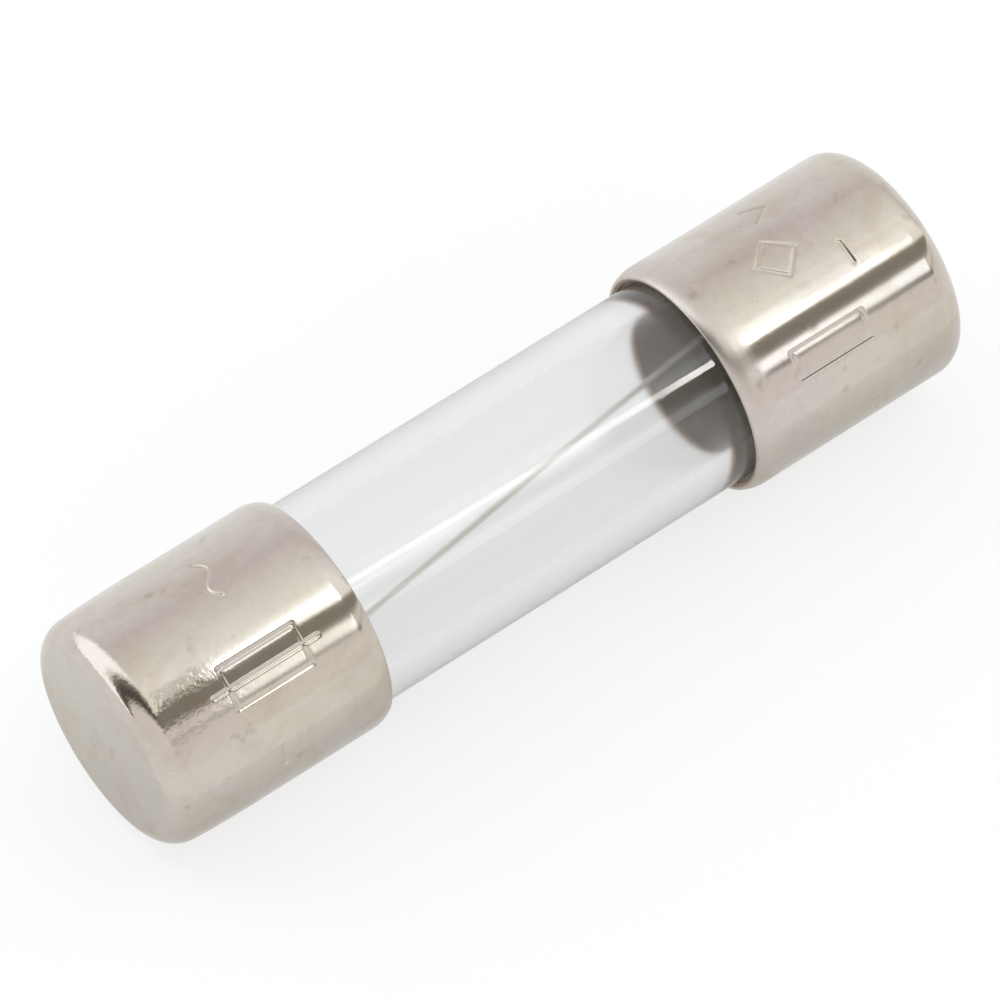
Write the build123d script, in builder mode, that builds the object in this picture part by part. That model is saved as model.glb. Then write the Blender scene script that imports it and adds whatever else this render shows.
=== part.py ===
"""A 5 x 20 mm glass cartridge fuse.

A clear glass tube carries a drawn, nickel-plated brass cap on each end. A thin wire element crosses the
bore from the rim at one end to the opposite rim at the other. Each end of the wire is folded over the rim
and lies in the solder that fixes the cap.

Frame: X runs along the fuse, from the left cap to the right one, +Z is up and the origin is the centre of
the fuse, on its axis. Angles around the fuse are turns about +X, counted from +Z, so that a positive angle
leans towards -Y, the front.
"""

import os
from math import cos, radians, sin, sqrt

from build123d import *

# Driving dimensions, in millimetres
FUSE_LENGTH = 20.0
CAP_DIAMETER = 5.2
LEFT_CAP_LENGTH = 5.32  # drawn cups vary a little in length
RIGHT_CAP_LENGTH = 5.5
CAP_WALL = 0.16
CAP_END_WALL = 0.3
CAP_CORNER_RADIUS = 0.55  # outside, where the wall turns into the end face
LIP_RADIUS = 0.8  # outside, where the mouth is rolled in towards the glass
LIP_TURN = 30.0  # degrees that the mouth is rolled in by
TUBE_DIAMETER = 4.6
TUBE_BORE = 3.3
TUBE_RIM_RADIUS = 0.15  # fire-polished rims
SOLDER_DEPTH = 0.4  # from the tube's rim to the inside of the cap's end
SOLDER_CLIMB = 0.45  # up the bore, past the rim
SOLDER_DISH = 0.3  # the hollow in the solder's free face
SOLDER_SKIRT = 0.8  # up the outside of the tube, past the rim
WIRE_DIAMETER = 0.12
WIRE_ANGLE = -99.7  # around the fuse, the side of the right rim that the wire crosses
WIRE_DROP = 0.11  # how far the wire passes below the axis
WIRE_BORE_GAP = 0.07  # between the wire and the bore, where it meets the rim
WIRE_RIM_GAP = 0.08  # between the wire and the rim that it crosses
WIRE_BEND_RADIUS = 0.25
WIRE_TAIL = 1.4  # folded back along the outside of the tube
MARK_WIDTH = 0.12
MARK_DEPTH = 0.03

# Worked out from those
HALF_LENGTH = FUSE_LENGTH / 2
CAP_RADIUS = CAP_DIAMETER / 2
CAP_INNER_RADIUS = CAP_RADIUS - CAP_WALL
CAP_INNER_CORNER = CAP_CORNER_RADIUS - CAP_WALL
CAP_FLOOR_X = HALF_LENGTH - CAP_END_WALL
TUBE_RADIUS = TUBE_DIAMETER / 2
BORE_RADIUS = TUBE_BORE / 2
TUBE_END_X = CAP_FLOOR_X - SOLDER_DEPTH
TUBE_MID_WALL = (TUBE_RADIUS + BORE_RADIUS) / 2


def radial_plane(x, angle):
    """A plane through the fuse's axis at x, facing outwards at that angle around the fuse."""
    outwards = (0, -sin(radians(angle)), cos(radians(angle)))
    return Plane(origin=(x, 0, 0), x_dir=(1, 0, 0), z_dir=outwards)


def cap_shell(length):
    """A right cap before it is stamped: a drawn cup with a rolled-in mouth."""
    lip_reach = LIP_RADIUS * sin(radians(LIP_TURN))
    lip_centre = (HALF_LENGTH - length + lip_reach, CAP_RADIUS - LIP_RADIUS)
    corner_centre = (HALF_LENGTH - CAP_CORNER_RADIUS, CAP_RADIUS - CAP_CORNER_RADIUS)
    inner_centre = (CAP_FLOOR_X - CAP_INNER_CORNER, CAP_INNER_RADIUS - CAP_INNER_CORNER)
    with BuildPart() as shell:
        with BuildSketch(Plane.XY):
            with BuildLine():
                outer_lip = CenterArc(lip_centre, LIP_RADIUS, 90, LIP_TURN)
                inner_lip = CenterArc(lip_centre, LIP_RADIUS - CAP_WALL, 90, LIP_TURN)
                outer_corner = CenterArc(corner_centre, CAP_CORNER_RADIUS, 0, 90)
                inner_corner = CenterArc(inner_centre, CAP_INNER_CORNER, 0, 90)
                Line(inner_lip @ 1, outer_lip @ 1)
                Line(outer_lip @ 0, outer_corner @ 1)
                Polyline(outer_corner @ 0, (HALF_LENGTH, 0), (CAP_FLOOR_X, 0), inner_corner @ 0)
                Line(inner_corner @ 1, inner_lip @ 0)
            make_face()
        revolve(axis=Axis.X)
    return shell.part


def solder_pool():
    """The solder in the right cap, before the tube and the wire take their room in it."""
    skirt_x = TUBE_END_X - SOLDER_SKIRT
    meniscus_x = TUBE_END_X - SOLDER_CLIMB
    dish_bottom = (meniscus_x + SOLDER_DISH, 0)
    corner_low = (CAP_FLOOR_X, CAP_INNER_RADIUS - CAP_INNER_CORNER)
    corner_high = (CAP_FLOOR_X - CAP_INNER_CORNER, CAP_INNER_RADIUS)
    with BuildPart() as pool:
        with BuildSketch(Plane.XY):
            with BuildLine():
                dish = TangentArc(dish_bottom, (meniscus_x, BORE_RADIUS), tangent=(0, 1))
                corner = TangentArc(corner_low, corner_high, tangent=(0, 1))
                Polyline(dish @ 0, (CAP_FLOOR_X, 0), corner @ 0)
                Polyline(
                    corner @ 1,
                    (skirt_x, CAP_INNER_RADIUS),
                    (skirt_x, TUBE_MID_WALL),
                    (meniscus_x, TUBE_MID_WALL),
                    dish @ 1,
                )
            make_face()
        revolve(axis=Axis.X)
    return pool.part


def box_mark(length, width):
    """The outline of a box."""
    Rectangle(length + MARK_WIDTH, width + MARK_WIDTH)
    Rectangle(length - MARK_WIDTH, width - MARK_WIDTH, mode=Mode.SUBTRACT)


def fuse_symbol():
    """The circuit diagram symbol for a fuse: a box with a line through it."""
    box_mark(1.8, 0.9)
    SlotOverall(2.5 + MARK_WIDTH, MARK_WIDTH)


def long_box():
    box_mark(1.8, 0.6)


def diamond():
    RegularPolygon(0.5 + MARK_WIDTH / 2, 4)
    RegularPolygon(0.5 - MARK_WIDTH / 2, 4, mode=Mode.SUBTRACT)


def tick():
    SlotOverall(0.6, MARK_WIDTH, rotation=90)


def chevron():
    with BuildLine(mode=Mode.PRIVATE) as line:
        Polyline((-0.3, -0.35), (0.15, 0), (-0.3, 0.35))
    SlotArc(line.wire(), MARK_WIDTH)


def tilde():
    with BuildLine(mode=Mode.PRIVATE) as line:
        ThreePointArc((0, -0.55), (-0.16, -0.28), (0, 0))
        ThreePointArc((0, 0), (0.16, 0.28), (0, 0.55))
    SlotArc(line.wire(), MARK_WIDTH)


def stamps(marks):
    """What the stamping presses into a cap's skin, for marks given as (shape, x, angle)."""
    with BuildPart() as pressed:
        for shape, x, angle in marks:
            with BuildSketch(radial_plane(x, angle)):
                shape()
            extrude(amount=CAP_DIAMETER)
        Cylinder(CAP_RADIUS - MARK_DEPTH, FUSE_LENGTH, rotation=(0, 90, 0), mode=Mode.SUBTRACT)
    return pressed.part


os.makedirs("parts", exist_ok=True)

# The glass tube, with rounded rims
with BuildPart() as glass_tube:
    with BuildSketch(Plane.YZ):
        Circle(TUBE_RADIUS)
        Circle(BORE_RADIUS, mode=Mode.SUBTRACT)
    extrude(amount=TUBE_END_X, both=True)
    fillet(glass_tube.edges().filter_by(GeomType.CIRCLE), TUBE_RIM_RADIUS)
glass_tube.part.label = "glass_tube"
export_step(glass_tube.part, "parts/glass_tube.step")

# The wire: straight across the bore, over both rims and back along the outside of the glass, in one plane
meeting_radius = BORE_RADIUS - WIRE_BORE_GAP - WIRE_DIAMETER / 2
tail_radius = (TUBE_RADIUS + CAP_INNER_RADIUS) / 2
meeting_y = sqrt(meeting_radius**2 - WIRE_DROP**2)
tail_y = sqrt(tail_radius**2 - WIRE_DROP**2)
fold_x = TUBE_END_X + WIRE_RIM_GAP + WIRE_DIAMETER / 2
right_end = [(fold_x, meeting_y), (fold_x, tail_y), (TUBE_END_X - WIRE_TAIL, tail_y)]
left_end = [(-x, -y) for x, y in reversed(right_end)]
with BuildPart() as fuse_wire:
    with BuildLine(radial_plane(0, WIRE_ANGLE + 90).offset(-WIRE_DROP)) as route:
        FilletPolyline(*left_end, *right_end, radius=WIRE_BEND_RADIUS)
    with BuildSketch(Plane(origin=route.line @ 0, z_dir=route.line % 0)):
        Circle(WIRE_DIAMETER / 2)
    sweep(path=route.line)
fuse_wire.part.label = "fuse_wire"
export_step(fuse_wire.part, "parts/fuse_wire.step")

# The caps: the same cup, mirrored, with different stamped marks
right_marks = [(diamond, 6.8, 1.5), (chevron, 7.4, -28.5), (tick, 8.1, 17.0), (long_box, 6.8, 49.5)]
with BuildPart() as end_cap_right:
    add(cap_shell(RIGHT_CAP_LENGTH))
    add(stamps(right_marks), mode=Mode.SUBTRACT)
end_cap_right.part.label = "end_cap_right"
export_step(end_cap_right.part, "parts/end_cap_right.step")

left_marks = [(fuse_symbol, -7.1, 37.5), (tilde, -7.0, -12.5), (tick, -7.4, 82.0)]
with BuildPart() as end_cap_left:
    mirror(cap_shell(LEFT_CAP_LENGTH), about=Plane.YZ)
    add(stamps(left_marks), mode=Mode.SUBTRACT)
end_cap_left.part.label = "end_cap_left"
export_step(end_cap_left.part, "parts/end_cap_left.step")

# The solder in each cap, around the end of the tube and the folded wire
with BuildPart() as solder_right:
    add(solder_pool())
    add(glass_tube.part, mode=Mode.SUBTRACT)
    add(fuse_wire.part, mode=Mode.SUBTRACT)
solder_right.part.label = "solder_right"
export_step(solder_right.part, "parts/solder_right.step")

with BuildPart() as solder_left:
    mirror(solder_pool(), about=Plane.YZ)
    add(glass_tube.part, mode=Mode.SUBTRACT)
    add(fuse_wire.part, mode=Mode.SUBTRACT)
solder_left.part.label = "solder_left"
export_step(solder_left.part, "parts/solder_left.step")
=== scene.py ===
import math

import bmesh
import bpy
import numpy as np
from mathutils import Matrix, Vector


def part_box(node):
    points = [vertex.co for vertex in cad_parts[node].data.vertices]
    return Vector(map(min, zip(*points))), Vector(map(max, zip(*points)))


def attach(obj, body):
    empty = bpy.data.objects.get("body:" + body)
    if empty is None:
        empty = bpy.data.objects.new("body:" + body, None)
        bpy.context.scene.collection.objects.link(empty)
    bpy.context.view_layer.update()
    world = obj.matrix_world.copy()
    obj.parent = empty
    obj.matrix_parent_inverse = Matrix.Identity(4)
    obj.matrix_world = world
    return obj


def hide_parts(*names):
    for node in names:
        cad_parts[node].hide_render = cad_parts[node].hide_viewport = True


# The looks of a 5 x 20 mm glass cartridge fuse, built around its CAD frame. X runs along the fuse, and Z
# is up. Lengths are in millimetres until a mesh or the camera is made. An angle "around the fuse" is a
# turn about +X in degrees, counted from +Z and positive towards -Y, the front, as in the CAD model.

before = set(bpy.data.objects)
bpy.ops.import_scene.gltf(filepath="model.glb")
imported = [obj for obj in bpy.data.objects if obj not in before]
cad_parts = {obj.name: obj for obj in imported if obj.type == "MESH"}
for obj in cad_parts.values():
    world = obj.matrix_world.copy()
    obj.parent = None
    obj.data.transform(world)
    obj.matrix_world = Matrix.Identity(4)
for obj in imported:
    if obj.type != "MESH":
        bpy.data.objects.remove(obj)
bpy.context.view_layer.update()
MM = 0.001


def extent(node):
    """The lowest and highest corners of a CAD node, in millimetres."""
    low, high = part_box(node)
    return low / MM, high / MM


# Sizes read from the frame
CAP_LEFT_LOW, CAP_LEFT_HIGH = extent("end_cap_left")
CAP_RIGHT_LOW, CAP_RIGHT_HIGH = extent("end_cap_right")
SOLDER_LOW, SOLDER_HIGH = extent("solder_right")
TUBE_HIGH = extent("glass_tube")[1]
WIRE_HIGH = extent("fuse_wire")[1]
HALF_LENGTH = CAP_RIGHT_HIGH.x
CAP_RADIUS = CAP_RIGHT_HIGH.z
TUBE_RADIUS = TUBE_HIGH.z
TUBE_END_X = TUBE_HIGH.x
CAP_FLOOR_X = SOLDER_HIGH.x
SKIRT_X = SOLDER_LOW.x
CAP_INNER_RADIUS = SOLDER_HIGH.z
FLOOR_Z = CAP_LEFT_LOW.z

# Sizes that the frame's boxes don't show
BORE_RADIUS = 1.65
TUBE_RIM_RADIUS = 0.15
CAP_WALL = CAP_RADIUS - CAP_INNER_RADIUS
CAP_CORNER_RADIUS = 0.55
CAP_INNER_CORNER = CAP_CORNER_RADIUS - CAP_WALL
LIP_RADIUS = 0.8  # of the mouth's roll towards the glass
LIP_TURN = 30.0
LIP_REACH = LIP_RADIUS * math.sin(math.radians(LIP_TURN))
SOLDER_CLIMB = 0.45
SOLDER_DISH = 0.3
WIRE_RADIUS = 0.06
WIRE_ANGLE = -99.7
WIRE_DROP = 0.11
WIRE_BORE_GAP = 0.07
WIRE_BEND_RADIUS = 0.25
WIRE_TAIL = 1.4
MARK_WIDTH = 0.12

# Finer shape and finish that the CAD leaves out
MARK_DEPTH = 0.028
MARK_EDGE = 0.6 * MARK_WIDTH  # from the middle of a mark's groove to its soft edge
MARK_ROOM_X = 1.35  # the fine mesh reaches this far past the middle of a mark
MARK_ROOM_TURN = 16.0  # and this many degrees around the fuse
LIP_EDGE_RADIUS = 0.055  # of the mouth's worn edge
WAVE = 0.001  # the height of the slight waves in the drawn wall
WAVE_RUN_IN = 1.2  # over which the waves grow, from the lip and from the corner
TAPER_START = 8.0  # where a cap starts to narrow towards its closed end
LIP_BURNISH = 0.85  # how far from the mouth the rolling tool has dulled the plating
COARSE_REACH = 2.2  # how far a coarse patch of plating reaches along the fuse
COARSE_HEIGHT = 0.0056
BORE_HAZE = 0.16  # roughness of the glass on the bore's side
CONTACT_GAP = 0.006  # between the solder and what it wets
SKIRT_CHAMFER = 0.03
SOLDER_RIPPLE = 0.02
CONTACT_RIM = 0.02  # the solder's rim against the glass, which stays round
WIRE_WOBBLE = 0.012

# Stamped marks, as lines in millimetres along the fuse and around it


def box_outline(length, width):
    x, y = length / 2, width / 2
    return [(-x, -y), (x, -y), (x, y), (-x, y), (-x, -y)]


def curve_points(points_at, count=24):
    return [points_at(i / count) for i in range(count + 1)]


FUSE_SYMBOL = [box_outline(1.8, 0.9), [(-1.25, 0), (1.25, 0)]]
LONG_BOX = [box_outline(1.8, 0.6)]
DIAMOND = [[(0.5, 0), (0, 0.5), (-0.5, 0), (0, -0.5), (0.5, 0)]]
CHEVRON = [[(-0.3, -0.35), (0.15, 0), (-0.3, 0.35)]]
TICK = [[(0, -0.26), (0, 0.26)]]
TILDE = [curve_points(lambda t: (0.16 * math.sin(math.tau * (t - 0.5)), 1.1 * (t - 0.5)))]
LEFT_MARKS = [(FUSE_SYMBOL, -7.1, 37.5), (TILDE, -7.0, -12.5), (TICK, -7.4, 82.0)]
RIGHT_MARKS = [(DIAMOND, 6.8, 1.5), (CHEVRON, 7.4, -28.5), (TICK, 8.1, 17.0), (LONG_BOX, 6.8, 49.5)]


def smooth_step(value):
    value = np.clip(value, 0, 1)
    return value**2 * (3 - 2 * value)


def distance_to_line(x, y, line):
    """The distance from each point (x, y) to a line of straight stretches."""
    nearest = np.full(x.shape, np.inf)
    for (x0, y0), (x1, y1) in zip(line, line[1:]):
        run_x, run_y = x1 - x0, y1 - y0
        along = ((x - x0) * run_x + (y - y0) * run_y) / (run_x**2 + run_y**2)
        along = np.clip(along, 0, 1)
        nearest = np.minimum(nearest, np.hypot(x - x0 - along * run_x, y - y0 - along * run_y))
    return nearest


def pressed_depth(x, angle, marks):
    """How deep the stamped marks are at each place on a cap's wall, with soft edges."""
    depth = np.zeros(x.shape)
    for lines, mark_x, mark_angle in marks:
        turn = np.radians(angle - mark_angle)
        across = -CAP_RADIUS * np.sin(turn)
        for line in lines:
            inside = 1 - distance_to_line(x - mark_x, across, line) / MARK_EDGE
            pressed = np.where(np.cos(turn) > 0, MARK_DEPTH * smooth_step(inside), 0)
            depth = np.maximum(depth, pressed)
    return depth


# Outlines to turn about the fuse's axis, as points (x, radius)


def arc(centre, radius, start, end, count):
    """Points on a circle from one angle to another, in degrees."""
    angles = np.radians(np.linspace(start, end, count + 1))
    return [(centre[0] + radius * math.cos(a), centre[1] + radius * math.sin(a)) for a in angles]


def stepped(start, end, fine_start, fine_end, fine=0.025, coarse=0.12):
    """Places from start to end, closer together between fine_start and fine_end."""
    places, place = [], start
    while place < end - fine / 2:
        places.append(place)
        place += fine if fine_start - coarse < place < fine_end else coarse
    return places + [end]


def cap_outline(length, wall_places):
    """The right cap's outline in three parts: plated outside, worn edge of the mouth, hollow inside.

    It runs from the middle of the end face, over the wall and the mouth, to the inside of the end.
    """
    lip_turned = math.radians(90 + LIP_TURN)
    mouth_x = HALF_LENGTH - length
    lip_centre = np.array((mouth_x + LIP_REACH, CAP_RADIUS - LIP_RADIUS))
    along_edge = np.array((math.cos(lip_turned), math.sin(lip_turned)))
    past_edge = np.array((-along_edge[1], along_edge[0]))
    edge = LIP_EDGE_RADIUS
    outer_reach, inner_reach = LIP_RADIUS - edge, LIP_RADIUS - CAP_WALL + edge
    outer_edge = lip_centre + along_edge * math.sqrt(outer_reach**2 - edge**2) - past_edge * edge
    inner_edge = lip_centre + along_edge * math.sqrt(inner_reach**2 - edge**2) - past_edge * edge
    outer_stop = 90 + LIP_TURN - math.degrees(math.asin(edge / outer_reach))
    inner_stop = 90 + LIP_TURN - math.degrees(math.asin(edge / inner_reach))
    corner_centre = (HALF_LENGTH - CAP_CORNER_RADIUS, CAP_RADIUS - CAP_CORNER_RADIUS)
    inner_centre = (CAP_FLOOR_X - CAP_INNER_CORNER, CAP_INNER_RADIUS - CAP_INNER_CORNER)

    face = [(HALF_LENGTH, radius) for radius in np.linspace(0, corner_centre[1], 18)]
    corner = arc(corner_centre, CAP_CORNER_RADIUS, 0, 90, 24)
    wall = [(x, CAP_RADIUS) for x in wall_places]
    lip = arc(lip_centre, LIP_RADIUS, 90, outer_stop, 14)
    lip += arc(outer_edge, edge, outer_stop, 180 + LIP_TURN, 6)[1:]
    worn_edge = arc(inner_edge, edge, 180 + LIP_TURN, inner_stop + 180, 6)
    inner_lip = arc(lip_centre, LIP_RADIUS - CAP_WALL, inner_stop, 90, 6)
    inner_wall = [(x, CAP_INNER_RADIUS) for x in np.linspace(lip_centre[0], inner_centre[0], 12)]
    inner_corner = arc(inner_centre, CAP_INNER_CORNER, 90, 0, 8)
    plated = face + corner[1:] + wall[1:-1] + lip
    hollow = inner_lip[1:] + inner_wall[1:] + inner_corner[1:] + [(CAP_FLOOR_X, 0.0)]
    return plated, worn_edge, hollow


def angles_around(fine_start=0, fine_end=0, fine=0.5, coarse=1.5):
    """Angles for the columns of a turned mesh, closer together between fine_start and fine_end."""
    fine_part = np.arange(fine_start, fine_end, fine)
    count = round((360 - (fine_end - fine_start)) / coarse)
    return np.concatenate((fine_part, np.linspace(fine_end, fine_start + 360, count, endpoint=False)))


def turned(name, outline, angles, materials, relief=None, closed=False, side=1, changes=()):
    """A mesh turned about the fuse's axis. relief(x, radius, angle) moves its points outwards.

    side -1 mirrors it to the left end. changes are the places in the outline where the next material
    starts.
    """
    x, angle = np.meshgrid([p[0] * side for p in outline], angles, indexing="ij")
    radius = np.meshgrid([p[1] for p in outline], angles, indexing="ij")[0]
    if relief:
        radius = radius + relief(x, radius, angle)
    turn = np.radians(angle)
    points = np.stack((x, -radius * np.sin(turn), radius * np.cos(turn)), axis=-1) * MM
    rows, columns = x.shape
    index = np.arange(rows * columns).reshape(rows, columns)
    ring_pairs = [(i, (i + 1) % rows) for i in range(rows if closed else rows - 1)]
    faces, slots = [], []
    for here, there in ring_pairs:
        a, b = index[here], index[there]
        quads = np.stack((a, np.roll(a, -1), np.roll(b, -1), b), axis=-1)
        quads = quads[:, ::-1] if side > 0 else quads
        faces += quads.tolist()
        slots += [sum(here >= change for change in changes)] * columns
    mesh = bpy.data.meshes.new(name)
    mesh.from_pydata(points.reshape(-1, 3).tolist(), [], faces)
    for material in materials:
        mesh.materials.append(material)
    mesh.polygons.foreach_set("material_index", slots)
    weld_poles(mesh)
    mesh.shade_smooth()
    piece = bpy.data.objects.new(name, mesh)
    bpy.context.collection.objects.link(piece)
    return piece


def weld_poles(mesh):
    """Joins the points that a turned outline leaves on the axis, which drops the faces this flattens."""
    shape = bmesh.new()
    shape.from_mesh(mesh)
    on_axis = [v for v in shape.verts if math.hypot(v.co.y, v.co.z) < 1e-9]
    bmesh.ops.remove_doubles(shape, verts=on_axis, dist=1e-9)
    bmesh.ops.recalc_face_normals(shape, faces=shape.faces)
    shape.to_mesh(mesh)
    shape.free()


# Materials

NICKEL = (0.600, 0.556, 0.495)
NICKEL_PINK = (0.598, 0.546, 0.502)
NICKEL_STRAW = (0.603, 0.560, 0.474)
NICKEL_TAN = (0.530, 0.462, 0.372)
NICKEL_GREY = (0.535, 0.500, 0.458)
NICKEL_BROWN = (0.34, 0.28, 0.23)


def opaque(colour):
    """A colour with its alpha, from a colour or a grey level."""
    return (*colour, 1.0) if isinstance(colour, tuple) else (colour, colour, colour, 1.0)


def outlet(node):
    """The socket with a node's result, which on a Mix node of colours isn't the first one."""
    return node.outputs[2 if node.bl_idname == "ShaderNodeMix" else 0]


class Nodes:
    """A short way to write a material's nodes."""

    def __init__(self, name):
        self.material = bpy.data.materials.new(name)
        self.material.use_nodes = True
        self.tree = self.material.node_tree
        self.tree.nodes.clear()
        self.shader = self.add("ShaderNodeBsdfPrincipled")
        self.output = self.add("ShaderNodeOutputMaterial")
        self.join(self.shader, "BSDF", self.output, "Surface")
        self.coords = self.add("ShaderNodeTexCoord")

    def add(self, kind, **settings):
        node = self.tree.nodes.new(kind)
        for key, value in settings.items():
            setattr(node, key, value)
        return node

    def join(self, source, output, target, socket):
        self.tree.links.new(source.outputs[output], target.inputs[socket])

    def noise(self, size, detail=2.0, roughness=0.5, stretch=(1, 1, 1), offset=(0, 0, 0), distortion=0.0):
        """Noise whose lumps are about size millimetres across, stretched along each axis."""
        mapping = self.add("ShaderNodeMapping")
        mapping.inputs["Scale"].default_value = [1 / (size * MM * s) for s in stretch]
        mapping.inputs["Location"].default_value = offset
        texture = self.add("ShaderNodeTexNoise")
        texture.inputs["Scale"].default_value = 1.0
        texture.inputs["Detail"].default_value = detail
        texture.inputs["Roughness"].default_value = roughness
        texture.inputs["Distortion"].default_value = distortion
        self.join(self.coords, "Object", mapping, "Vector")
        self.join(mapping, "Vector", texture, "Vector")
        return texture

    def ramp(self, source, stops):
        """A noise's value turned into colours or grey levels, by stops (value, colour)."""
        ramp = self.add("ShaderNodeValToRGB")
        elements = ramp.color_ramp.elements
        while len(elements) < len(stops):
            elements.new(0.5)
        for element, (position, colour) in zip(elements, stops):
            element.position = position
            element.color = opaque(colour)
        self.join(source, "Fac", ramp, "Fac")
        return ramp

    def mix(self, amount, base, colour):
        """A base node's colours with a plain colour mixed in, by the amount that another node gives."""
        mix = self.add("ShaderNodeMix", data_type="RGBA")
        self.tree.links.new(outlet(amount), mix.inputs[0])
        self.tree.links.new(outlet(base), mix.inputs[6])
        mix.inputs[7].default_value = opaque(colour)
        return mix

    def near_x(self, x, reach, core=0.0):
        """1 within the core distance of x, dying away to 0 at that reach from it, in millimetres."""
        split = self.add("ShaderNodeSeparateXYZ")
        self.join(self.coords, "Object", split, "Vector")
        away = self.add("ShaderNodeMath", operation="SUBTRACT")
        self.join(split, "X", away, 0)
        away.inputs[1].default_value = x * MM
        distance = self.add("ShaderNodeMath", operation="ABSOLUTE")
        self.join(away, 0, distance, 0)
        fade = self.add("ShaderNodeMapRange", interpolation_type="SMOOTHSTEP")
        self.join(distance, 0, fade, "Value")
        fade.inputs["From Min"].default_value = reach * MM
        fade.inputs["From Max"].default_value = core * MM
        return fade

    def near_axis(self, radius):
        """1 within that radius of the fuse's axis, in millimetres, and 0 outside it."""
        across = self.add("ShaderNodeVectorMath", operation="MULTIPLY")
        across.inputs[1].default_value = (0, 1, 1)
        self.join(self.coords, "Object", across, 0)
        distance = self.add("ShaderNodeVectorMath", operation="LENGTH")
        self.join(across, 0, distance, 0)
        inside = self.add("ShaderNodeMath", operation="LESS_THAN")
        self.join(distance, "Value", inside, 0)
        inside.inputs[1].default_value = radius * MM
        return inside

    def times(self, first, second):
        """The product of a node and either another node or a number."""
        product = self.add("ShaderNodeMath", operation="MULTIPLY")
        self.join(first, 0, product, 0)
        if isinstance(second, bpy.types.Node):
            self.join(second, 0, product, 1)
        else:
            product.inputs[1].default_value = second
        return product

    def sum(self, first, second):
        total = self.add("ShaderNodeMath", operation="ADD")
        self.join(first, 0, total, 0)
        self.join(second, 0, total, 1)
        return total

    def colour(self, node):
        self.tree.links.new(outlet(node), self.shader.inputs["Base Color"])

    def roughness(self, node):
        self.tree.links.new(outlet(node), self.shader.inputs["Roughness"])

    def bump(self, source, height, output="Fac"):
        """Relief of that height in millimetres, added to any relief there already is."""
        bump = self.add("ShaderNodeBump")
        bump.inputs["Strength"].default_value = 1.0
        bump.inputs["Distance"].default_value = height * MM
        self.join(source, output, bump, "Height")
        normal = self.shader.inputs["Normal"]
        if normal.is_linked:
            self.tree.links.new(normal.links[0].from_socket, bump.inputs["Normal"])
        self.join(bump, "Normal", self.shader, "Normal")


def nickel(name, roughness, seed, mouth_x, mouth_roughness, coarse_x=None):
    """Bright nickel plating under thin uneven tarnish, dulled near the mouth and coarse near coarse_x."""
    nodes = Nodes(name)
    nodes.shader.inputs["Metallic"].default_value = 1.0
    film = nodes.noise(3.4, detail=2, stretch=(0.8, 1, 1), offset=(seed, 0, 0))
    base = nodes.ramp(film, [(0.38, NICKEL_PINK), (0.5, NICKEL), (0.62, NICKEL_STRAW)])
    blotches = nodes.noise(1.5, detail=5, roughness=0.6, offset=(0, seed, 0), distortion=0.6)
    stained = nodes.mix(nodes.ramp(blotches, [(0.50, 0.0), (0.66, 0.75)]), base, NICKEL_TAN)
    mottle = nodes.noise(0.22, detail=4, roughness=0.65, offset=(0, 0, seed))
    mottled = nodes.mix(nodes.ramp(mottle, [(0.42, 0.0), (0.66, 0.5)]), stained, NICKEL_GREY)
    smudges = nodes.noise(0.6, detail=2, roughness=0.6, offset=(seed, seed, 0), distortion=0.2)
    nodes.colour(nodes.mix(nodes.ramp(smudges, [(0.64, 0.0), (0.80, 0.6)]), mottled, NICKEL_BROWN))
    haze = nodes.noise(1.1, detail=5, roughness=0.6, stretch=(2.5, 1, 1), offset=(seed, 0, seed))
    polish = nodes.ramp(haze, [(0.35, roughness), (0.7, roughness * 1.4)])
    burnish = nodes.near_x(mouth_x, LIP_BURNISH, core=LIP_REACH)
    nodes.roughness(nodes.sum(polish, nodes.times(burnish, mouth_roughness)))
    nodes.bump(nodes.noise(0.05, detail=2), 0.00022)
    if coarse_x is not None:
        coarse = nodes.times(nodes.noise(0.13, detail=2), nodes.near_x(coarse_x, COARSE_REACH))
        nodes.bump(coarse, COARSE_HEIGHT, output=0)
    return nodes.material


def worn_brass():
    """The cut edge of a cap's mouth, where the brass shows through thin plating."""
    nodes = Nodes("worn_brass")
    nodes.shader.inputs["Metallic"].default_value = 1.0
    wear = nodes.noise(0.3, detail=4)
    nodes.colour(nodes.ramp(wear, [(0.4, (0.50, 0.38, 0.28)), (0.65, (0.40, 0.30, 0.23))]))
    nodes.roughness(nodes.ramp(wear, [(0.3, 0.42), (0.7, 0.55)]))
    return nodes.material


def dull_inside():
    """The inside of a cap, pale with dried flux. It looks dark because little light gets in."""
    nodes = Nodes("cap_inside")
    clouds = nodes.noise(0.7, detail=4)
    nodes.shader.inputs["Metallic"].default_value = 0.1
    nodes.colour(nodes.ramp(clouds, [(0.3, (0.95, 0.86, 0.74)), (0.7, (0.99, 0.92, 0.81))]))
    nodes.roughness(nodes.ramp(clouds, [(0.3, 0.5), (0.7, 0.36)]))
    return nodes.material


def glass():
    """Clear drawn soda glass, which takes a little light away and is hazy on the bore's side."""
    nodes = Nodes("clear_glass")
    nodes.shader.inputs["Base Color"].default_value = (1, 1, 1, 1)
    nodes.shader.inputs["Transmission Weight"].default_value = 1.0
    nodes.shader.inputs["IOR"].default_value = 1.52
    film = nodes.noise(1.6, detail=3, stretch=(6, 1, 1))
    haze = nodes.times(nodes.near_axis((TUBE_RADIUS + BORE_RADIUS) / 2), BORE_HAZE)
    nodes.roughness(nodes.sum(nodes.ramp(film, [(0.5, 0.0), (0.8, 0.012)]), haze))
    tint = nodes.add("ShaderNodeVolumeAbsorption")
    tint.inputs["Color"].default_value = (0.51, 0.51, 0.50, 1)
    tint.inputs["Density"].default_value = 175.0
    nodes.join(tint, "Volume", nodes.output, "Volume")
    return nodes.material


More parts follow.
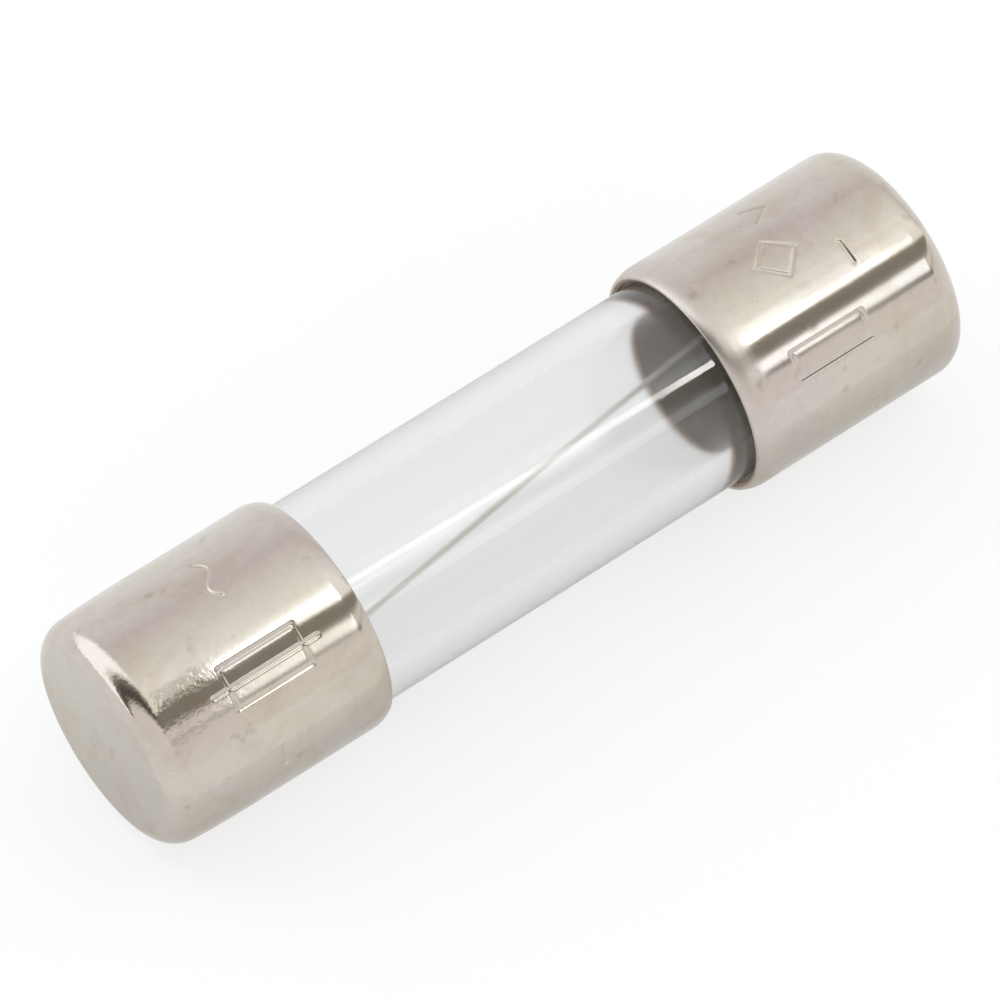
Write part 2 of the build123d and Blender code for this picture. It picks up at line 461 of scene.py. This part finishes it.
def wire_metal():
    """Tinned wire, dull and pale."""
    nodes = Nodes("element_wire")
    nodes.shader.inputs["Metallic"].default_value = 0.2
    stains = nodes.noise(0.4, detail=3)
    nodes.colour(nodes.ramp(stains, [(0.35, (0.95, 0.92, 0.82)), (0.65, (0.98, 0.955, 0.88))]))
    nodes.roughness(nodes.ramp(stains, [(0.3, 0.42), (0.7, 0.55)]))
    return nodes.material


def solder_metal():
    """Frozen tin solder, with a skin of flux in places."""
    nodes = Nodes("tin_solder")
    nodes.shader.inputs["Metallic"].default_value = 1.0
    grain = nodes.noise(0.25, detail=5, roughness=0.65)
    flux = nodes.ramp(nodes.noise(0.8, detail=2), [(0.5, 0.0), (0.7, 0.6)])
    tin = nodes.ramp(grain, [(0.3, (0.42, 0.42, 0.41)), (0.7, (0.60, 0.60, 0.58))])
    nodes.colour(nodes.mix(flux, tin, (0.30, 0.20, 0.10)))
    nodes.roughness(nodes.ramp(grain, [(0.3, 0.3), (0.7, 0.5)]))
    nodes.bump(grain, 0.004)
    return nodes.material


# Pieces


def keep(piece, node):
    """Puts a finished piece in place of its CAD node."""
    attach(piece, "root")
    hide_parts(node)


def cap_relief(marks, mouth_x, seed, taper):
    """The relief of a cap's outside: stamped marks, and the slight waves and taper of drawn metal."""
    corner_x, corner_radius = HALF_LENGTH - CAP_CORNER_RADIUS, CAP_RADIUS - CAP_CORNER_RADIUS

    def relief(x, radius, angle):
        turn = np.radians(angle)
        from_lip = np.abs(x) - mouth_x - LIP_REACH
        from_corner = corner_x - np.abs(x)
        level = smooth_step(np.minimum(from_lip, from_corner) / WAVE_RUN_IN)
        wave = np.sin(4 * turn + 0.9 * x + seed) + 0.7 * np.sin(7 * turn - 1.9 * x + 2 * seed) - 1.7
        on_wall = np.minimum(from_lip, from_corner) > 0
        on_wall &= radius > CAP_INNER_RADIUS + CAP_WALL / 2
        past_corner = np.maximum(np.abs(x) - corner_x, 0)
        outside = np.hypot(past_corner, radius - corner_radius) > CAP_CORNER_RADIUS - CAP_WALL / 2
        narrowing = taper * np.maximum(np.abs(x) - TAPER_START, 0) ** 2
        narrowing *= np.clip((radius - corner_radius) / CAP_CORNER_RADIUS, 0, 1)
        raised = np.where(on_wall, WAVE * wave * level - pressed_depth(x, angle, marks), 0)
        return raised - np.where(outside, narrowing, 0)

    return relief


def make_cap(name, side, length, marks, metals, seed, taper):
    """A drawn cap. side is -1 for the left one, and taper says how fast its closed end narrows."""
    places = [side * x for _, x, _ in marks]
    angles = [angle for _, _, angle in marks]
    mouth_x = HALF_LENGTH - length
    wall_end = HALF_LENGTH - CAP_CORNER_RADIUS
    fine_start, fine_end = min(places) - MARK_ROOM_X, max(places) + MARK_ROOM_X
    wall = stepped(mouth_x + LIP_REACH, wall_end, fine_start, fine_end)
    plated, worn_edge, hollow = cap_outline(length, wall[::-1])
    piece = turned(
        name,
        plated + worn_edge + hollow,
        angles_around(min(angles) - MARK_ROOM_TURN, max(angles) + MARK_ROOM_TURN),
        metals,
        relief=cap_relief(marks, mouth_x, seed, taper),
        side=side,
        changes=(len(plated) - 1, len(plated) + len(worn_edge) - 1),
    )
    keep(piece, name)


def make_tube(material):
    """The clear tube, with rounded rims."""
    end_x, rim = TUBE_END_X - TUBE_RIM_RADIUS, TUBE_RIM_RADIUS
    places = np.linspace(-end_x, end_x, 12)
    outline = [(x, TUBE_RADIUS) for x in places]
    outline += arc((end_x, TUBE_RADIUS - rim), rim, 90, 0, 8)[1:]
    outline += arc((end_x, BORE_RADIUS + rim), rim, 0, -90, 8)
    outline += [(x, BORE_RADIUS) for x in places[::-1]][1:]
    outline += arc((-end_x, BORE_RADIUS + rim), rim, -90, -180, 8)[1:]
    outline += arc((-end_x, TUBE_RADIUS - rim), rim, 180, 90, 8)[:-1]
    piece = turned("glass_tube_clear", outline, angles_around(coarse=0.25), [material], closed=True)
    keep(piece, "glass_tube")


def make_solder(name, side, material):
    """The pool of solder on a cap's floor: it plugs the bore and climbs a little outside the tube."""
    gap = CONTACT_GAP
    meniscus_x = TUBE_END_X - SOLDER_CLIMB
    bore = BORE_RADIUS - gap
    dish_radius = (bore**2 + SOLDER_DISH**2) / (2 * SOLDER_DISH)
    dish_x = meniscus_x + SOLDER_DISH
    reach = math.degrees(math.asin(bore / dish_radius))
    end_x, rim = TUBE_END_X - TUBE_RIM_RADIUS, TUBE_RIM_RADIUS + gap
    outline = arc((dish_x - dish_radius, 0), dish_radius, 0, reach, 20)
    outline += arc((end_x, bore + rim), rim, -90, 0, 6)
    outline += arc((end_x, TUBE_RADIUS + gap - rim), rim, 0, 90, 6)
    outline += [(SKIRT_X + SKIRT_CHAMFER, TUBE_RADIUS + gap)]
    outline += [(SKIRT_X, (TUBE_RADIUS + CAP_INNER_RADIUS) / 2)]
    outline += [(SKIRT_X + SKIRT_CHAMFER, CAP_INNER_RADIUS - gap)]
    corner = (CAP_FLOOR_X - CAP_INNER_CORNER, CAP_INNER_RADIUS - CAP_INNER_CORNER)
    outline += arc(corner, CAP_INNER_CORNER - gap, 90, 0, 8)
    outline += [(CAP_FLOOR_X - gap, 0.0)]

    def ripples(x, radius, angle):
        turn = np.radians(angle)
        swell = np.clip(radius / bore, 0, 1) * (radius < bore - CONTACT_RIM)
        return SOLDER_RIPPLE * swell * np.sin(3 * turn + side) * np.sin(5 * radius)

    piece = turned(name, outline, angles_around(coarse=2.5), [material], relief=ripples, side=side)
    keep(piece, name)


def wire_route():
    """The wire's route in its own plane, as points (x, y): a straight run between two folded ends."""
    meeting = math.sqrt((BORE_RADIUS - WIRE_BORE_GAP - WIRE_RADIUS) ** 2 - WIRE_DROP**2)
    tail = math.sqrt(((TUBE_RADIUS + CAP_INNER_RADIUS) / 2) ** 2 - WIRE_DROP**2)
    fold_x = WIRE_HIGH.x - WIRE_RADIUS
    corners = [(TUBE_END_X - WIRE_TAIL, tail), (fold_x, tail), (fold_x, meeting)]
    half = [np.array(corners[0])]
    for before, corner, after in zip(corners, corners[1:], [corners[2], (-fold_x, -meeting)]):
        half += rounded(np.array(before), np.array(corner), np.array(after), WIRE_BEND_RADIUS)
    run_start = half[-1]
    run = [run_start * (1 - 2 * t) for t in np.linspace(0, 1, 80)[1:-1]]
    return half + run + [-point for point in half[::-1]]


def rounded(before, corner, after, radius, count=12):
    """Points on the arc that rounds off a corner."""
    to_before = (before - corner) / np.linalg.norm(before - corner)
    to_after = (after - corner) / np.linalg.norm(after - corner)
    half_angle = math.acos(np.clip(to_before @ to_after, -1, 1)) / 2
    centre_way = (to_before + to_after) / np.linalg.norm(to_before + to_after)
    centre = corner + centre_way * radius / math.sin(half_angle)
    start = corner + to_before * radius / math.tan(half_angle) - centre
    end = corner + to_after * radius / math.tan(half_angle) - centre
    turn = math.acos(np.clip(start @ end / radius**2, -1, 1))
    weights = [(math.sin((1 - t) * turn), math.sin(t * turn)) for t in np.linspace(0, 1, count + 1)]
    return [centre + (a * start + b * end) / math.sin(turn) for a, b in weights]


def make_wire(material):
    """The wire, which wavers a little on its way across the bore."""
    angle = math.radians(WIRE_ANGLE)
    across = Vector((0, -math.sin(angle), math.cos(angle)))
    down = Vector((0, math.sin(angle + math.pi / 2), -math.cos(angle + math.pi / 2)))
    curve = bpy.data.curves.new("wire_route", "CURVE")
    curve.dimensions = "3D"
    curve.bevel_depth = WIRE_RADIUS * MM
    curve.bevel_resolution = 5
    curve.use_fill_caps = True
    route = wire_route()
    spline = curve.splines.new("POLY")
    spline.points.add(len(route) - 1)
    for point, (x, y) in zip(spline.points, route):
        place = Vector((x, 0, 0)) + across * y + down * WIRE_DROP
        wobble = WIRE_WOBBLE * math.sin(1.1 * x) * math.exp(-((x / 6) ** 4))
        point.co = (*((place + Vector((0, 0, wobble))) * MM), 1)
    source = bpy.data.objects.new("wire_source", curve)
    bpy.context.collection.objects.link(source)
    bpy.context.view_layer.update()
    evaluated = source.evaluated_get(bpy.context.evaluated_depsgraph_get())
    mesh = bpy.data.meshes.new_from_object(evaluated)
    bpy.data.objects.remove(source)
    mesh.materials.clear()
    mesh.materials.append(material)
    mesh.shade_smooth()
    piece = bpy.data.objects.new("element_wire", mesh)
    bpy.context.collection.objects.link(piece)
    keep(piece, "fuse_wire")


tin = solder_metal()
left_mouth, right_mouth = CAP_LEFT_HIGH.x, CAP_RIGHT_LOW.x
nickel_left = nickel("nickel_left", 0.085, 3.0, left_mouth, mouth_roughness=0.02, coarse_x=-9.3)
nickel_right = nickel("nickel_right", 0.09, 8.0, right_mouth, mouth_roughness=0.2)
edge_and_inside = [worn_brass(), dull_inside()]
left_metals, right_metals = [nickel_left] + edge_and_inside, [nickel_right] + edge_and_inside
left_length = CAP_LEFT_HIGH.x - CAP_LEFT_LOW.x
right_length = CAP_RIGHT_HIGH.x - CAP_RIGHT_LOW.x
make_cap("end_cap_left", -1, left_length, LEFT_MARKS, left_metals, seed=0.4, taper=0.02)
make_cap("end_cap_right", 1, right_length, RIGHT_MARKS, right_metals, seed=2.2, taper=0.0)
make_tube(glass())
make_solder("solder_left", -1, tin)
make_solder("solder_right", 1, tin)
make_wire(wire_metal())

# Stage: floor, soft light and camera

FLOOR_HALF_SIZE = 2000.0
CARD_RADIUS = 400.0
KEY_TUBE_RADIUS = 390.0  # in front of the other cards
TENT_TOP = (1.26, 1.25, 1.22)  # the tent's brightness behind the upper cards
TENT_FRONT = (0.95, 0.92, 0.90)  # and behind the lower ones
CAMERA_AZIMUTH = -36.955
CAMERA_ELEVATION = 55.788
CAMERA_DISTANCE = 177.87
AIM_RIGHT, AIM_UP = -0.116, -0.127  # where the camera looks, from the fuse's centre
LENS_PER_SENSOR_WIDTH = 8.7762


def emitter(name, colour, strength, around_it=None, along=None, across=None):
    """A glowing card's material.

    Its light fades to the colour around it between two places along X and between two heights. Both are
    counted from 0 at the card's low end to 1 at its high end, from the faded side to the bright one.
    """
    material = bpy.data.materials.new(name)
    material.use_nodes = True
    tree = material.node_tree
    tree.nodes.clear()
    emission = tree.nodes.new("ShaderNodeEmission")
    glow = tuple(part * strength for part in colour)
    emission.inputs["Color"].default_value = (*glow, 1)
    if around_it:
        coords = tree.nodes.new("ShaderNodeTexCoord")
        split = tree.nodes.new("ShaderNodeSeparateXYZ")
        tree.links.new(coords.outputs["Generated"], split.inputs[0])
        brightness = tree.nodes.new("ShaderNodeMath")
        brightness.operation = "MULTIPLY"
        brightness.inputs[0].default_value = 1.0
        brightness.inputs[1].default_value = 1.0
        for index, (axis, places) in enumerate((("X", along), ("Z", across))):
            if places:
                fade = tree.nodes.new("ShaderNodeMapRange")
                fade.interpolation_type = "SMOOTHSTEP"
                fade.inputs["From Min"].default_value, fade.inputs["From Max"].default_value = places
                tree.links.new(split.outputs[axis], fade.inputs["Value"])
                tree.links.new(fade.outputs[0], brightness.inputs[index])
        mix = tree.nodes.new("ShaderNodeMix")
        mix.data_type = "RGBA"
        mix.inputs[6].default_value = (*around_it, 1)
        mix.inputs[7].default_value = (*glow, 1)
        tree.links.new(brightness.outputs[0], mix.inputs[0])
        tree.links.new(mix.outputs[2], emission.inputs["Color"])
    output = tree.nodes.new("ShaderNodeOutputMaterial")
    tree.links.new(emission.outputs[0], output.inputs["Surface"])
    return material


def card(name, corners, material, only_reflected=False):
    """A card of the studio, from its corners in millimetres. The camera doesn't see it."""
    mesh = bpy.data.meshes.new(name)
    places = [tuple(value * MM for value in corner) for corner in corners]
    mesh.from_pydata(places, [], [range(len(corners))])
    mesh.materials.append(material)
    piece = bpy.data.objects.new(name, mesh)
    piece.visible_camera = False
    if only_reflected:
        piece.visible_diffuse = piece.visible_transmission = piece.visible_shadow = False
    bpy.context.collection.objects.link(piece)


def around(x, radius, angle):
    """The point at x, at that radius and angle around the fuse."""
    turn = math.radians(angle)
    return (x, -radius * math.sin(turn), radius * math.cos(turn))


def strip(name, angles, x_start, x_end, material, end_angles=None, radius=CARD_RADIUS):
    """A long card beside the fuse, between two angles around it, or slanting towards its end_angles.

    Its ends are given as they are at CARD_RADIUS, and move in or out with another radius.
    """
    (low, high), (end_low, end_high) = angles, end_angles or angles
    places = ((x_start, low), (x_end, end_low), (x_end, end_high), (x_start, high))
    card(name, [around(x * radius / CARD_RADIUS, radius, angle) for x, angle in places], material)


def shade(name, far_x, far_y, strength, outer_strength, along):
    """A part of the shade that the fuse throws on the floor, which fades out away from it.

    The floor has no such shade in the picture, so the card shows in reflections only.
    """
    low, high, near_y = FLOOR_Z + 0.02, FLOOR_Z + 0.1, -1.0
    corners = ((0, far_y, low), (far_x, far_y, low), (far_x, near_y, high), (0, near_y, high))
    outer = (outer_strength,) * 3
    material = emitter(name, (1.0, 0.98, 0.96), strength, outer, along=along, across=(0.0, 1.0))
    card(name, corners, material, only_reflected=True)


def make_floor():
    """A pale floor that glows a little, like a light table."""
    mesh = bpy.data.meshes.new("floor")
    corners = [(-1, -1), (1, -1), (1, 1), (-1, 1)]
    reach = FLOOR_HALF_SIZE * MM
    places = [(x * reach, y * reach, FLOOR_Z * MM) for x, y in corners]
    mesh.from_pydata(places, [], [(0, 1, 2, 3)])
    material = bpy.data.materials.new("pale_floor")
    material.use_nodes = True
    shader = material.node_tree.nodes["Principled BSDF"]
    shader.inputs["Base Color"].default_value = (0.34, 0.345, 0.35, 1)
    shader.inputs["Roughness"].default_value = 1.0
    shader.inputs["Specular IOR Level"].default_value = 0.0
    shader.inputs["Emission Color"].default_value = (0.99, 0.995, 1, 1)
    shader.inputs["Emission Strength"].default_value = 0.70
    mesh.materials.append(material)
    floor = bpy.data.objects.new("floor", mesh)
    bpy.context.collection.objects.link(floor)


# The light tent's brightness at angles around the fuse, with a dark slit on the front side. A colour ramp
# holds nothing above 1, so the ramps hold these divided by SKY_SCALE.
SKY_SCALE = 1.7
TENT = [
    (-180, (0.97, 0.96, 0.98)),
    (-100, (0.98, 0.98, 1.02)),
    (-69, (0.96, 0.95, 0.99)),
    (-45, (0.84, 0.79, 0.81)),
    (-24, (0.96, 0.93, 0.92)),
    (-5, (1.09, 1.09, 1.08)),
    (12, (1.26, 1.25, 1.22)),
    (29.4, (1.28, 1.27, 1.23)),
    (29.8, (0.32, 0.30, 0.26)),
    (44.0, (0.32, 0.30, 0.26)),
    (45.0, (0.46, 0.43, 0.40)),
    (47.5, (0.46, 0.43, 0.40)),
    (48.5, (0.88, 0.85, 0.83)),
    (56, (1.04, 1.00, 0.98)),
    (58.5, (0.72, 0.70, 0.69)),
    (61.5, (0.72, 0.70, 0.69)),
    (64.5, (0.94, 0.91, 0.90)),
    (76, (0.98, 0.93, 0.92)),
    (92, (0.97, 0.95, 0.95)),
    (180, (0.97, 0.96, 0.98)),
]

# Towards the fuse's left end it is a bright window beside a dark gap, both leaning by LEFT_LEAN degrees
LEFT_LEAN = 72.0
LEFT_TENT = [
    (-180, (0.97, 0.97, 1.0)),
    (-140, (1.0, 1.0, 1.04)),
    (-95, (1.56, 1.60, 1.68)),
    (4, (1.58, 1.62, 1.68)),
    (16, (1.05, 1.04, 1.03)),
    (24, (0.30, 0.28, 0.25)),
    (40, (0.12, 0.11, 0.10)),
    (52, (0.12, 0.11, 0.10)),
    (60, (0.40, 0.37, 0.34)),
    (70, (1.0, 0.97, 0.95)),
    (252, (0.97, 0.97, 1.0)),
]


def angle_ramp(tree, angle, stops):
    """Colours by an angle, for stops (degrees, colour)."""
    lowest, highest = stops[0][0], stops[-1][0]
    place = tree.nodes.new("ShaderNodeMapRange")
    place.inputs["From Min"].default_value = math.radians(lowest)
    place.inputs["From Max"].default_value = math.radians(highest)
    ramp = tree.nodes.new("ShaderNodeValToRGB")
    elements = ramp.color_ramp.elements
    while len(elements) < len(stops):
        elements.new(1.0)
    for element, (degrees, colour) in zip(elements, stops):
        element.position = (degrees - lowest) / (highest - lowest)
        element.color = (*(part / SKY_SCALE for part in colour), 1)
    tree.links.new(angle.outputs[0], place.inputs["Value"])
    tree.links.new(place.outputs[0], ramp.inputs[0])
    return ramp


def make_world():
    """The light tent, which lights from every side. Far enough to the left, it changes to LEFT_TENT."""
    world = bpy.data.worlds.new("light_tent")
    world.use_nodes = True
    tree = world.node_tree
    coords = tree.nodes.new("ShaderNodeTexCoord")
    split = tree.nodes.new("ShaderNodeSeparateXYZ")
    forwards = tree.nodes.new("ShaderNodeMath")
    forwards.operation = "MULTIPLY"
    forwards.inputs[1].default_value = -1.0
    angle = tree.nodes.new("ShaderNodeMath")
    angle.operation = "ARCTAN2"
    leaning = tree.nodes.new("ShaderNodeMath")
    leaning.operation = "MULTIPLY_ADD"
    leaning.inputs[1].default_value = -math.radians(LEFT_LEAN)
    leftness = tree.nodes.new("ShaderNodeMapRange")
    leftness.interpolation_type = "SMOOTHSTEP"
    leftness.inputs["From Min"].default_value = -0.08
    leftness.inputs["From Max"].default_value = -0.30
    mix = tree.nodes.new("ShaderNodeMix")
    mix.data_type = "RGBA"
    tree.links.new(coords.outputs["Generated"], split.inputs[0])
    tree.links.new(split.outputs["Y"], forwards.inputs[0])
    tree.links.new(forwards.outputs[0], angle.inputs[0])
    tree.links.new(split.outputs["Z"], angle.inputs[1])
    tree.links.new(split.outputs["X"], leaning.inputs[0])
    tree.links.new(angle.outputs[0], leaning.inputs[2])
    tree.links.new(split.outputs["X"], leftness.inputs["Value"])
    tree.links.new(leftness.outputs[0], mix.inputs[0])
    tree.links.new(angle_ramp(tree, angle, TENT).outputs[0], mix.inputs[6])
    tree.links.new(angle_ramp(tree, leaning, LEFT_TENT).outputs[0], mix.inputs[7])
    background = tree.nodes["Background"]
    background.inputs["Strength"].default_value = SKY_SCALE
    tree.links.new(mix.outputs[2], background.inputs["Color"])
    bpy.context.scene.world = world


def make_camera():
    """A long lens, close enough that the nearer cap looks a little larger."""
    azimuth, elevation = math.radians(CAMERA_AZIMUTH), math.radians(CAMERA_ELEVATION)
    away = -math.cos(azimuth) * math.cos(elevation)
    back = Vector((math.sin(azimuth) * math.cos(elevation), away, math.sin(elevation)))
    right = Vector((math.cos(azimuth), math.sin(azimuth), 0))
    up = back.cross(right)
    data = bpy.data.cameras.new("camera")
    data.sensor_width = 36.0
    data.lens = LENS_PER_SENSOR_WIDTH * data.sensor_width
    data.clip_start, data.clip_end = 0.01, 10.0
    camera = bpy.data.objects.new("camera", data)
    camera.location = (back * CAMERA_DISTANCE + right * AIM_RIGHT + up * AIM_UP) * MM
    camera.rotation_mode = "QUATERNION"
    camera.rotation_quaternion = (-back).to_track_quat("-Z", "Y")
    bpy.context.collection.objects.link(camera)
    bpy.context.scene.camera = camera


def make_key_cards():
    """Cards for the bright band that the caps reflect above the dark slit."""
    left = emitter("key_left", (0.97, 1.0, 1.03), 2.2, TENT_TOP, along=(0.0, 0.15), across=(1.05, 0.4))
    strip("key_left", (10.0, 26.6), 118.8, 127.0, left, end_angles=(10.0, 31.8))
    glow = emitter("key_glow", (0.97, 1.0, 1.03), 2.2, TENT_TOP, across=(1.05, 0.6))
    strip("key_glow", (10.0, 31.3), 127.0, 166.0, glow, end_angles=(10.0, 29.6))
    far = emitter("key_far", (0.98, 1.0, 0.99), 1.24, TENT_TOP, across=(1.0, 0.3))
    strip("key_far", (2.0, 30.2), 166.0, 300.0, far)


def make_left_end_cards():
    """Towards the left cap's closed end, the bright band dies out and the dark slit goes on."""
    gloom = emitter("left_gloom", (0.96, 1.0, 0.93), 0.88, TENT_TOP, along=(1.0, 0.75))
    strip("left_gloom", (13.0, 25.0), 60.0, 114.0, gloom)
    slit = emitter("slit_left", (0.32, 0.30, 0.26), 1.3, TENT_TOP, along=(1.0, 0.8))
    strip("slit_left", (25.0, 30.0), 60.0, 114.0, slit)


def make_low_cards():
    """Cards for the thinner bright line below the slit, on the caps and on the glass."""
    colour = (0.94, 0.97, 1.0)
    left = emitter("low_left", colour, 2.2, TENT_FRONT, along=(0.25, 0.8))
    strip("low_left", (50.0, 57.6), 116.0, 127.5, left, end_angles=(47.2, 58.9))
    tube = emitter("low_tube", colour, 2.3, (1.9, 1.95, 2.0), along=(0.2, 0.8))
    strip("low_tube", (50.3, 60.3), 127.5, 162.0, tube, end_angles=(49.8, 59.2))
    right = emitter("low_right", colour, 1.8)
    strip("low_right", (49.0, 55.6), 162.0, 172.0, right, end_angles=(47.4, 59.6))
    strip("low_far", (47.4, 59.6), 172.0, 210.0, right)


def make_gap_cards():
    """Cards for the thin dark line below that one, on the caps."""
    colour = (1.0, 0.96, 0.93)
    left = emitter("gap_left", colour, 0.40, TENT_FRONT, along=(0.0, 0.4))
    strip("gap_left", (60.4, 63.8), 117.0, 127.0, left)
    right = emitter("gap_right", colour, 0.3)
    strip("gap_right", (56.4, 61.0), 162.0, 171.0, right, end_angles=(60.6, 65.4))
    strip("gap_far", (60.6, 65.4), 171.0, 300.0, right)


def make_tube_card():
    """The lamp that the glass reflects, brightest in front of the dark inside of the right cap."""
    lamp = emitter("key_tube", (1.0, 0.975, 0.93), 17.0, (5.4, 5.35, 5.3), along=(0.77, 0.93))
    start_angles, end_angles = (17.4, 22.8), (24.0, 30.4)
    strip("key_tube", start_angles, 125.0, 161.5, lamp, end_angles, radius=KEY_TUBE_RADIUS)


def make_shade_cards():
    """Cards for the darker floor that the caps and their end faces reflect low down."""
    shade("front_shade_left", -13.0, -8.0, 0.66, 0.91, along=(0.0, 0.33))
    shade("front_shade_right", 14.0, -8.0, 0.66, 0.91, along=(1.0, 0.6))
    shade("back_shade_left", -13.5, 7.0, 0.66, 0.94, along=(0.0, 0.33))
    shade("back_shade_right", 14.0, 7.0, 0.66, 0.94, along=(1.0, 0.6))


make_floor()
make_world()
make_camera()
make_key_cards()
make_left_end_cards()
make_low_cards()
make_gap_cards()
make_tube_card()
make_shade_cards()

scene = bpy.context.scene
scene.view_settings.view_transform = "Standard"
scene.view_settings.look = "None"
